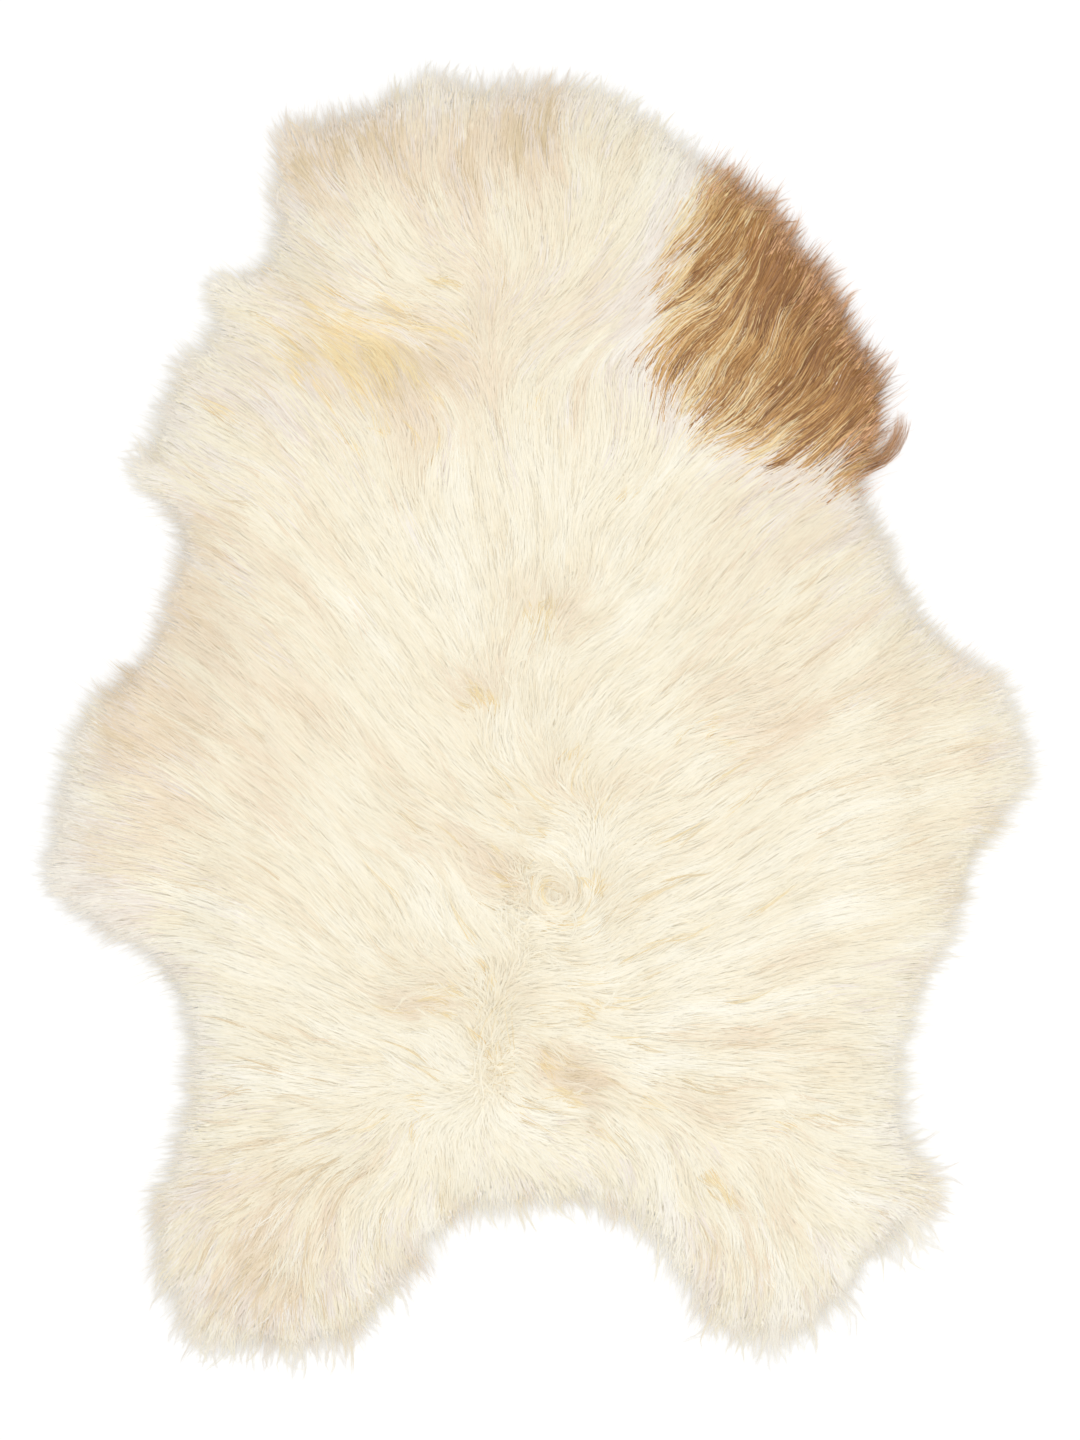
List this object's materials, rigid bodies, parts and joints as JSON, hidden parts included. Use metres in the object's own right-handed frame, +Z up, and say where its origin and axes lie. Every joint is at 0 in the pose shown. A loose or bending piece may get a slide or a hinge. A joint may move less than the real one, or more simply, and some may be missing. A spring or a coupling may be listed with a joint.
{
  "type": "sheepskin rug",
  "caption": "Whole long-haired sheepskin laid flat as a rug, cream with a golden-brown patch beside the neck, its lobed outline ragged with soft locks.",
  "frame": {"origin": "centre of the pelt's box, on the plane that its underside lies on", "axes": "+Y from the tail to the neck, +Z up out of the fleece, +X to the right seen from above with the neck at the top"},
  "size_m": [0.8608, 1.1204, 0.0459],
  "materials": {
    "fleece": "long, soft, lying cream wool",
    "brown_fleece": "long, soft, lying golden-brown wool",
    "hide": "pale napped suede of the skin's underside"
  },
  "bodies": {
    "root": {"sheepskin": "fleece"}
  },
  "joints": []
}
